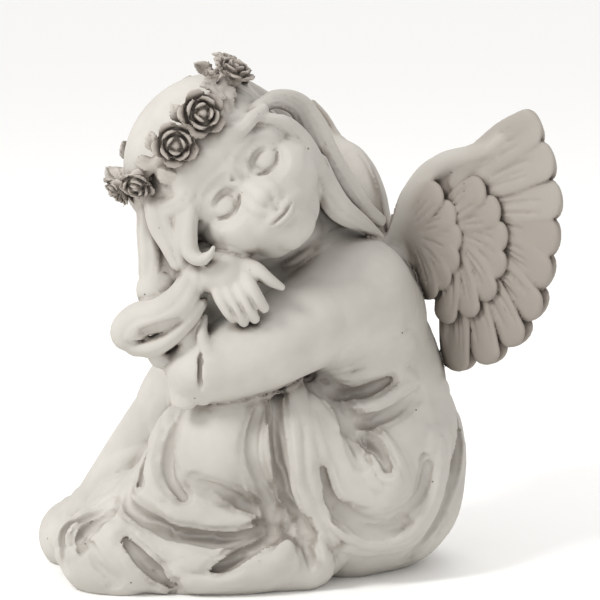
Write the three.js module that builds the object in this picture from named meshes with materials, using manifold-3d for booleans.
// A sleeping cherub with wings, cast in one piece: a seated child who hugs its knees, with its cheek on
// one hand, a wreath of roses in its hair and a long robe over its feet. Millimetres, +Z up. The child
// faces -X and turns towards -Y; the flat underside lies on z = 0.
import * as THREE from "three";
import { mergeVertices } from "three/addons/utils/BufferGeometryUtils.js";
import Module from "manifold-3d";

const wasm = await Module();
wasm.setup();

// ---------------------------------------------------------------- driving dimensions
const MIDDLE = [-4.3, 13.1];         // the middle of the statue's plan, moved to the origin at the end
const HEAD = [-42, -50, 238];        // the middle of the skull
const HEAD_ROLL = -48;               // degrees that the crown leans towards -X
const HEAD_YAW = 10;
const HEAD_NOD = 4;
const SKULL = [41, 47, 46];
const JAW = [32, 34, 33];
const HAIR_CAP = [48, 50, 36];
const NAPE = [46, 40, 42];
const RING_RADIUS = 43;              // the wreath, on the crown
const RING_HEIGHT = 37;
const RING_BAR = 3.5;
const WING_DROOP = 0.07;             // how far the far wing sinks for each millimetre outwards

const STONE = new THREE.MeshStandardMaterial({ color: "#cfcbc4", roughness: 0.85, metalness: 0 });

// ---------------------------------------------------------------- vectors and curves
const vec = (x, y, z) => new THREE.Vector3(x, y, z);
const about = (x, y, z, degrees) =>
  new THREE.Quaternion().setFromAxisAngle(vec(x, y, z), THREE.MathUtils.degToRad(degrees));
const wave = (rows) => new THREE.CatmullRomCurve3(rows.map((r) => vec(...r)), false, "catmullrom", 0.5);

// A form's outline in space: rows of x, y, z, half width, half thickness.
function course(rows) {
  const path = wave(rows.map(([x, y, z]) => [x, y, z]));
  const size = wave(rows.map(([, , , a, b = a]) => [a, b, 0]));
  return { path, size };
}

// ---------------------------------------------------------------- solids
function solidOf(geometry) {
  const bare = geometry.clone();
  bare.deleteAttribute("normal");
  bare.deleteAttribute("uv");
  const merged = mergeVertices(bare, 1e-3);
  return new wasm.Manifold(new wasm.Mesh({
    numProp: 3,
    vertProperties: merged.attributes.position.array,
    triVerts: merged.index.array,
  }));
}

// Moves every vertex of a geometry to the place that `place` gives for it.
function reshape(geometry, place) {
  const at = geometry.attributes.position;
  for (let i = 0; i < at.count; i++) {
    const p = place(vec(at.getX(i), at.getY(i), at.getZ(i)));
    at.setXYZ(i, p.x, p.y, p.z);
  }
  return geometry;
}

function ball(centre, radii, turn = new THREE.Quaternion(), across = 16, down = 10) {
  const shape = new THREE.SphereGeometry(1, across, down).rotateX(Math.PI / 2);
  shape.scale(...radii).applyQuaternion(turn).translate(...centre);
  return solidOf(shape);
}

// A rounded bar along a smooth curve, wider than it is thick where its rows say so; `out` is the way that
// its flat side faces.
function bar(rows, out = vec(-0.15, -1, 0.15), sides = 6, steps = rows.length, cap = 1, blunt = true) {
  const { path, size } = course(rows);
  const shape = new THREE.CapsuleGeometry(1, 1, cap, sides, steps);
  return solidOf(reshape(shape, (p) => {
    const along = THREE.MathUtils.clamp(p.y + 0.5, 0, 1);
    const beyond = p.y + 0.5 - along;
    const centre = path.getPoint(along);
    const tangent = path.getTangent(along);
    const side = tangent.clone().cross(out).normalize();
    const front = side.clone().cross(tangent);
    const { x: a, y: b } = size.getPoint(along);
    return centre.addScaledVector(side, p.x * a).addScaledVector(front, p.z * b)
      .addScaledVector(tangent, beyond * (blunt ? b : a));
  }));
}

const join = (list) => list.reduce((whole, piece) => whole.add(piece));

// ---------------------------------------------------------------- the robe, as a soft mass
// Each form gives a point's distance to it; `soften` melts one form into the rest.
function ballForm([x, y, z], [a, b, c], turn = new THREE.Quaternion()) {
  const back = turn.clone().invert();
  return (p) => {
    const q = vec(p.x - x, p.y - y, p.z - z).applyQuaternion(back);
    const near = Math.hypot(q.x / a, q.y / b, q.z / c);
    const steep = Math.hypot(q.x / a / a, q.y / b / b, q.z / c / c);
    return near * (near - 1) / Math.max(steep, 1e-6);
  };
}

function limbForm(rows) {
  const { path, size } = course(rows);
  const count = 6 * (rows.length - 1);
  const points = path.getPoints(count);
  const radii = size.getPoints(count).map((r) => r.x);
  return (p) => {
    let nearest = Infinity;
    for (let i = 0; i < count; i++) {
      const along = points[i + 1].clone().sub(points[i]);
      const from = p.clone().sub(points[i]);
      const t = THREE.MathUtils.clamp(from.dot(along) / along.lengthSq(), 0, 1);
      const radius = THREE.MathUtils.lerp(radii[i], radii[i + 1], t);
      nearest = Math.min(nearest, from.addScaledVector(along, -t).length() - radius);
    }
    return nearest;
  };
}

function soften(a, b, blend) {
  const h = THREE.MathUtils.clamp(0.5 + 0.5 * (a - b) / blend, 0, 1);
  return Math.min(a, b) - blend * h * (1 - h);
}

const MASSES = [
  [ballForm([36, 2, 48], [56, 58, 58]), 10],
  [limbForm([[44, 4, 62, 50], [42, 0, 105, 45], [30, -4, 140, 42], [16, -8, 158, 36]]), 18],
  [ballForm([20, -8, 160], [42, 50, 33], about(0, 1, 0, 20)), 12],
  // the near leg and the far leg, thigh then shin
  [limbForm([[30, -28, 55, 42], [-5, -42, 80, 38], [-40, -48, 92, 31]]), 16],
  [limbForm([[-40, -50, 92, 31], [-72, -52, 56, 25], [-98, -54, 28, 21]]), 14],
  [limbForm([[25, 22, 60, 40], [-20, 14, 85, 33], [-60, 4, 102, 25]]), 16],
  [limbForm([[-63, 2, 108, 23], [-92, 2, 70, 20], [-118, 3, 32, 18]]), 12],
  // the cloth between them, both feet, and the hem
  [ballForm([-40, -22, 30], [85, 52, 38]), 14],
  [ballForm([-106, -56, 19], [33, 30, 27]), 9],
  [ballForm([-133, 3, 15], [23, 25, 22]), 7],
  [limbForm([[-95, -60, 12, 16], [-45, -64, 14, 18], [2, -60, 14, 16]]), 10],
];
const FEET = [[[-104, -57, 16], [36, 31, 31]], [[-130, 2, 14], [27, 28, 26]]];
const bodyAt = (p) => MASSES.reduce((d, [form, blend]) => soften(d, form(p), blend), 60);

// The place on the robe's front, seen along +Y, that has the given x and z, `lift` above the cloth.
function onFront(x, z, lift) {
  const p = vec(x, -160, z);
  for (let i = 0; i < 80; i++) {
    p.y += 0.7 * Math.max(bodyAt(p), 0);
  }
  const here = bodyAt(p);
  const out = vec(bodyAt(vec(p.x + 1, p.y, p.z)) - here, bodyAt(vec(p.x, p.y + 1, p.z)) - here,
    bodyAt(vec(p.x, p.y, p.z + 1)) - here).normalize();
  return p.addScaledVector(out, lift).toArray();
}

// A round bar of the given radius along the cloth, through places x, z; it thins out at its ends.
function alongRobe(places, radius, lift) {
  const last = places.length - 1;
  const rows = places.map(([x, z], i) => [...onFront(x, z, lift), i % last ? radius : 0.5 * radius]);
  return bar(rows, vec(0, -1, 0), 4, Math.min(last, 3), 1);
}

const RIDGES = [
  [[[-8, 119], [-8, 94], [-5, 66], [3, 44], [9, 25]], 6],
  [[[-5, 117], [0, 93], [5, 71], [11, 53], [22, 39], [35, 31], [49, 28]], 5],
  [[[49, 27], [62, 31], [72, 42], [78, 60], [80, 81]], 6],
  [[[-78, 96], [-80, 87], [-82, 78], [-83, 67], [-78, 58]], 5],
  [[[-85, 52], [-65, 45], [-45, 42], [-26, 44]], 7],
  [[[-96, 38], [-74, 29], [-51, 25], [-28, 29], [-17, 33]], 7],
  [[[-9, 33], [-17, 21], [-34, 15], [-57, 12], [-71, 11]], 6],
];
const CREASES = [
  [[[15, 115], [27, 110], [38, 113], [48, 116]], 4],
  [[[3, 127], [11, 116], [20, 108], [27, 99], [31, 93]], 6],
  [[[27, 99], [41, 97], [54, 101], [65, 107]], 4],
  [[[31, 94], [40, 87], [45, 80], [49, 71]], 7],
  [[[2, 80], [10, 59], [20, 49], [31, 44], [46, 41], [59, 45], [69, 54], [74, 69]], 5],
  [[[88, 99], [89, 82], [87, 62], [83, 44], [74, 25], [65, 11]], 5],
  [[[-13, 118], [-13, 100], [-12, 80], [-9, 60], [-5, 46]], 5],
  [[[-23, 107], [-27, 92], [-27, 80], [-23, 66], [-18, 41]], 4],
  [[[-56, 65], [-43, 59], [-33, 51], [-23, 46]], 5],
  [[[-67, 105], [-72, 90], [-75, 78], [-74, 68], [-67, 57]], 5],
  [[[-99, 56], [-99, 50], [-90, 45], [-74, 38], [-60, 34], [-46, 32], [-32, 33], [-22, 36]], 5],
];

// The robe: a sphere's vertices, each pushed out along its own ray to the soft mass, then the folds.
function robe(detail = 5, heart = vec(-14, -6, 66)) {
  const skin = new THREE.IcosahedronGeometry(1, detail);
  const mass = solidOf(reshape(skin, (ray) => {
    let reach = 20;
    for (let i = 0; i < 50; i++) {
      reach -= 0.8 * bodyAt(heart.clone().addScaledVector(ray, reach));
    }
    return heart.clone().addScaledVector(ray, reach);
  }));
  const feet = FEET.map(([centre, radii]) => ball(centre, radii, undefined, 10, 6));
  const ridges = RIDGES.map(([places, radius]) => alongRobe(places, radius, -0.5 * radius));
  const creases = CREASES.map(([places, radius]) => alongRobe(places, radius, 0.4 * radius));
  return join([mass, ...feet, ...ridges]).subtract(join(creases));
}

// ---------------------------------------------------------------- arms, cuff and hand
function arms() {
  const near = [[30, -30, 164, 32], [4, -56, 153, 27], [-24, -73, 142, 25], [-46, -79, 134, 21]];
  const far = [[-22, 28, 160, 28], [-62, 5, 150, 20], [-76, -30, 152, 17], [-66, -62, 172, 14],
    [-56, -84, 186, 9]];
  const neck = [[10, -10, 180, 26], [-12, -20, 205, 27], [-28, -18, 222, 26]];
  return join([bar(near, undefined, 10, 5, 2), bar(far, undefined, 8, 5), bar(neck, undefined, 8, 1)]);
}

function cuff() {
  const flap = [[-64, -84, 141, 7, 5], [-65, -86, 126, 8.6, 5.5], [-66, -84, 114, 7.5, 4.5]];
  const strip = [[-59, -86, 159, 2.5, 4], [-58, -89, 143, 3.2, 5], [-55, -86, 115, 2.6, 4]];
  return bar(flap, vec(-0.35, -0.94, 0)).add(bar(strip, vec(-0.35, -0.94, 0), 6));
}

function hand() {
  const fingers = [
    [[-30, -94, 188, 4.2], [-25, -98, 178, 3.9], [-22, -95, 169, 3.1]],
    [[-35, -96, 185, 4.2], [-29, -99, 174, 3.9], [-27, -95, 165, 3.1]],
    [[-41, -96, 182, 4.0], [-35, -99, 171, 3.8], [-32, -94, 162, 3.0]],
    [[-47, -94, 180, 3.8], [-43, -97, 171, 3.5], [-39, -93, 163, 2.9]],
    [[-32, -88, 190, 4.2], [-21, -94, 186, 4.0], [-13, -93, 180, 2.6]],
  ];
  const wrist = [[-58, -84, 188, 9], [-49, -90, 184, 9.5]];
  const back = ball([-40, -92, 185], [15, 7.5, 13], about(0, 1, 0, 30), 8, 6);
  return join([back, bar(wrist), ...fingers.map((rows) => bar(rows, undefined, 5, 2, 1))]);
}

// ---------------------------------------------------------------- head, face and hair
const headTurn = about(0, 1, 0, HEAD_ROLL)
  .multiply(about(0, 0, 1, HEAD_YAW)).multiply(about(1, 0, 0, HEAD_NOD));
// A place given in the head's own frame: x to its left side, -y out of the face, z to the crown.
const onHead = (x, y, z) => vec(x, y, z).applyQuaternion(headTurn).add(vec(...HEAD)).toArray();

const faceBar = (rows) => bar(rows.map(([x, y, z, r]) => [...onHead(x, y, z), r]), undefined, 5, 2);

function headAndFace() {
  const parts = [
    ball(onHead(0, 4, 8), SKULL, headTurn, 12, 8),
    ball(onHead(0, -12, -22), JAW, headTurn, 12, 8),
    ball(onHead(0, 8, 22), HAIR_CAP, headTurn, 12, 6),
    ball(onHead(0, 16, -2), NAPE, headTurn, 10, 6),
    // a soft nose, lips, and the rims of the closed lids
    faceBar([[0, -41, -4, 3], [0, -45, -15, 4], [0, -46, -22, 5]]),
    faceBar([[-9, -40, -34, 2], [0, -43, -33, 3.5], [9, -40, -34, 2]]),
    faceBar([[-7, -38, -39, 2], [0, -41, -39, 4], [7, -38, -39, 2]]),
    ...[-1, 1].map((side) => faceBar([[9 * side, -39, -8, 2], [17 * side, -37, -10, 3.2],
      [24 * side, -32, -7, 2]])),
  ];
  return join(parts);
}

function hair() {
  const locks = [
    // beside the face on the low side, down to the great curl
    [[-85, -66, 231, 8, 6], [-84, -74, 219, 6.8, 6], [-84, -80, 206, 6.2, 6], [-83, -84, 194, 6.2, 6],
      [-85, -84, 184, 5, 6]],
    [[-57, -88, 195, 6, 6], [-61, -92, 181, 8, 6], [-68, -94, 170, 9, 7], [-79, -92, 162, 8, 8],
      [-91, -86, 157, 8.5, 9], [-95, -82, 151, 9, 9]],
    [[-56, -92, 172, 3, 4], [-63, -92, 160, 4.5, 5], [-73, -90, 151, 5, 6], [-84, -86, 145, 6, 7],
      [-93, -82, 148, 6, 7]],
    [[-78, -80, 229, 8, 6], [-75, -86, 215, 8.5, 6], [-71, -90, 204, 7, 6], [-67, -90, 193, 5, 6]],
    [[-60, -86, 247, 5, 4], [-59, -92, 235, 5, 4], [-65, -91, 225, 6, 4], [-74, -86, 220, 6, 5]],
    [[-65, -90, 220, 3.5, 4], [-66, -93, 208, 3.5, 4], [-65, -92, 194, 3, 4]],
    [[-59, -92, 223, 4, 4.5], [-60, -97, 209, 5, 5], [-59, -99, 199, 5, 5], [-55, -100, 195, 4, 4],
      [-50, -102, 198, 2.8, 3], [-48, -103, 202, 1, 1]],
    // over the forehead
    [[-48, -94, 266, 3.5, 4], [-40, -97, 263, 5, 4], [-32, -93, 266, 5, 4], [-26, -86, 271, 3.5, 4],
      [-21, -78, 276, 3, 4]],
    [[-48, -92, 267, 2.4, 3], [-50, -94, 255, 2.6, 4], [-47, -96, 251, 2.6, 4], [-42, -97, 251, 1.4, 2]],
    // beside the face on the high side
    [[-23, -76, 275, 4, 4], [-10, -62, 278, 5, 5], [1, -52, 272, 6.5, 6], [9, -48, 259, 8, 7],
      [15, -44, 245, 9, 8], [25, -38, 227, 9, 8], [34, -28, 213, 7, 8], [45, -14, 206, 5, 6]],
    [[-23, -80, 272, 3, 4], [-9, -76, 267, 5, 5], [1, -70, 258, 6, 6], [7, -66, 246, 6.5, 6],
      [12, -60, 232, 6, 6]],
    [[11, -56, 243, 6, 6], [16, -56, 229, 7, 7], [23, -50, 216, 7, 7], [36, -34, 205, 5, 6]],
  ].map((rows) => bar(rows, undefined, 4));
  locks.push(ball([-79, -82, 177], [12, 9, 12.5], undefined, 10, 8));
  locks.push(ball([-77, -84, 142], [9, 6, 7], undefined, 8, 6));
  // down the back of the head to the shoulders
  for (let i = 0; i < 4; i++) {
    const angle = THREE.MathUtils.degToRad(20 + 46 * i);
    const [x, y] = [40 * Math.cos(angle), 44 * Math.sin(angle)];
    const [a, b, c] = onHead(0.7 * x, 0.8 * y, -40);
    const rows = [[...onHead(x, y, 15), 12], [...onHead(1.02 * x, 1.02 * y, -15), 13],
      [a + 6, b + 10, c - 4, 12]];
    locks.push(bar(rows, undefined, 6, 3));
  }
  return join(locks);
}

// ---------------------------------------------------------------- the wreath
function onRing(degrees, radius, up = 0) {
  const a = THREE.MathUtils.degToRad(degrees);
  const spoke = vec(radius * Math.sin(a), -radius * Math.cos(a), up).applyQuaternion(headTurn);
  return spoke.add(vec(...onHead(0, 0, RING_HEIGHT)));
}

// Each rose: degrees round the ring from the face, how far up from it, and its radius.
const ROSES = [[63, -1, 11], [13, 0, 12], [-12, 0, 11.5], [-55, -1, 9.5], [-84, 2, 9], [104, 0, 10],
  [148, 0, 10.5], [192, 0, 10], [236, 0, 10.5]];
// Each leaf: root and tip, in degrees and how far up.
const LEAVES = [[44, 1, 42, 12], [38, -1, 45, -10], [30, -1, 24, -12], [2, 1, 6, 15], [-30, 1, -18, 14],
  [-33, -1, -38, -16], [-66, -1, -72, -19], [74, 1, 84, 13], [126, -1, 130, -13], [170, 1, 168, 15],
  [256, 1, 252, 14]];
// Across a rose, from its back to its heart, as shares of its radius: a cup, a deep ring and a heart.
const ROSE_PROFILE = [[0, -0.7], [1, 0], [0.95, 0.3], [0.62, 0.1], [0.5, 0.6], [0, 0.2]];
const PETALS = 4;
const ROSE_LIFT = 6;

// A rose that faces out of the ring.
function rose([degrees, up, size]) {
  const profile = ROSE_PROFILE.map(([r, h]) => new THREE.Vector2(r * size, h * size));
  const cup = reshape(new THREE.LatheGeometry(profile, 2 * PETALS), (p) => {
    const swell = 1 + 0.1 * Math.cos(PETALS * Math.atan2(p.z, p.x));
    return vec(p.x * swell, p.y, p.z * swell);
  });
  const centre = onRing(degrees, RING_RADIUS + ROSE_LIFT, up);
  const out = onRing(degrees, 1).sub(onRing(degrees, 0));
  cup.applyQuaternion(new THREE.Quaternion().setFromUnitVectors(vec(0, 1, 0), out));
  cup.translate(...centre.toArray());
  return solidOf(cup);
}

function leaf([fromDegrees, fromUp, toDegrees, toUp]) {
  const from = onRing(fromDegrees, RING_RADIUS, fromUp);
  const tip = onRing(toDegrees, RING_RADIUS + 6 - 0.35 * Math.abs(toUp), toUp);
  const out = onRing(fromDegrees, 1).sub(onRing(fromDegrees, 0));
  const middle = from.clone().lerp(tip, 0.55).addScaledVector(out, 2);
  const rows = [[...from.toArray(), 3, 2], [...middle.toArray(), 5, 2], [...tip.toArray(), 1, 1]];
  return bar(rows, out, 4, 2, 1);
}

function wreath() {
  const rows = [];
  for (let degrees = 0; degrees <= 360; degrees += 30) {
    rows.push([...onRing(degrees, RING_RADIUS - 1).toArray(), RING_BAR]);
  }
  return join([bar(rows, undefined, 3, 12, 1), ...ROSES.map(rose), ...LEAVES.map(leaf)]);
}

// ---------------------------------------------------------------- wings
// A wing's plane: u outwards, v upwards, and a height off the plane.
function wingPlane(root, way, droop) {
  const u = vec(...way, 0).normalize();
  const n = u.clone().cross(vec(0, 0, 1));
  const at = (a, b, height = 0) =>
    vec(...root).addScaledVector(u, a).add(vec(0, 0, b - droop * a)).addScaledVector(n, height).toArray();
  const turn = about(0, 0, 1, THREE.MathUtils.radToDeg(Math.atan2(u.y, u.x)));
  return { at, n, turn };
}

// One layer of feathers: tips on an arc about a middle, each bent away from its spoke by `sweep`.
const LAYERS = [
  { count: 9, middle: [45, 5], from: 51, to: -86, ease: 1.12, reach: [97.5, 72, 78], length: 48, half: 12.5,
    thick: 4, sweep: [22, 2], rounding: 2 },
  { count: 7, middle: [45, 5], from: 54, to: -89, ease: 1, reach: [44, 44, 49], length: 27, half: 10.5,
    thick: 6.5, sweep: [20, 8], rounding: 1 },
  { count: 6, middle: [20, 0], from: 58, to: -58, ease: 1, reach: [43, 40, 35], length: 20, half: 9.5,
    thick: 9, sweep: [14, 14], rounding: 1 },
];

function feathers({ at, n }) {
  const list = [];
  for (const { count, middle, from, to, ease, reach, length, half, thick, sweep, rounding } of LAYERS) {
    for (let i = 0; i < count; i++) {
      const t = i / (count - 1);
      const angle = from + (to - from) * t ** ease;
      const radius = t < 0.45 ? THREE.MathUtils.lerp(reach[0], reach[1], t / 0.45)
        : THREE.MathUtils.lerp(reach[1], reach[2], (t - 0.45) / 0.55);
      const bend = THREE.MathUtils.lerp(sweep[0], sweep[1], t);
      const [u, v] = [Math.cos(angle * Math.PI / 180), Math.sin(angle * Math.PI / 180)]
        .map((w, k) => middle[k] + (radius - half) * w);
      const heading = (angle - bend) * Math.PI / 180;
      const root = at(u - length * Math.cos(heading), v - length * Math.sin(heading));
      const rows = [[...root, 0.62 * half, thick], [...at(u, v), half, thick]];
      list.push(bar(rows, n, 4, 1, rounding, false));
    }
  }
  return list;
}

function wing(root, way, droop) {
  const plane = wingPlane(root, way, droop);
  const arm = [[-14, -12, 12], [6, -8, 12], [15, 11, 11], [18.4, 24, 10], [26, 36, 9], [33, 43, 8],
    [42, 49, 7], [58, 54, 6], [73, 59, 5.5], [84, 68, 5], [94, 75, 4.5]]
    .map(([u, v, r]) => [...plane.at(u, v), r]);
  const web = ball(plane.at(44, 6), [44, 3.2, 40], plane.turn, 8, 4);
  return join([bar(arm, plane.n, 5, 8), web, ...feathers(plane)]);
}

// ---------------------------------------------------------------- the whole casting
function casting() {
  const whole = join([robe(), arms(), cuff(), hand(), headAndFace(), hair(), wreath(),
    wing([54, 22, 190], [0.766, -0.643], 0), wing([50.5, 25, 190], [-0.45, 0.89], WING_DROOP)]);
  const below = new THREE.BoxGeometry(600, 600, 100).translate(0, 0, -50);
  return whole.subtract(solidOf(below));
}

function geometryOf(solid) {
  const { vertProperties, triVerts } = solid.getMesh();
  const geometry = new THREE.BufferGeometry();
  geometry.setAttribute("position", new THREE.BufferAttribute(new Float32Array(vertProperties), 3));
  geometry.setIndex(new THREE.BufferAttribute(new Uint32Array(triVerts), 1));
  geometry.translate(-MIDDLE[0], -MIDDLE[1], 0);
  geometry.computeVertexNormals();
  return geometry;
}

const angel = new THREE.Mesh(geometryOf(casting()), STONE);
angel.name = "sleeping_angel";
const part = new THREE.Group();
part.add(angel);
export default part;
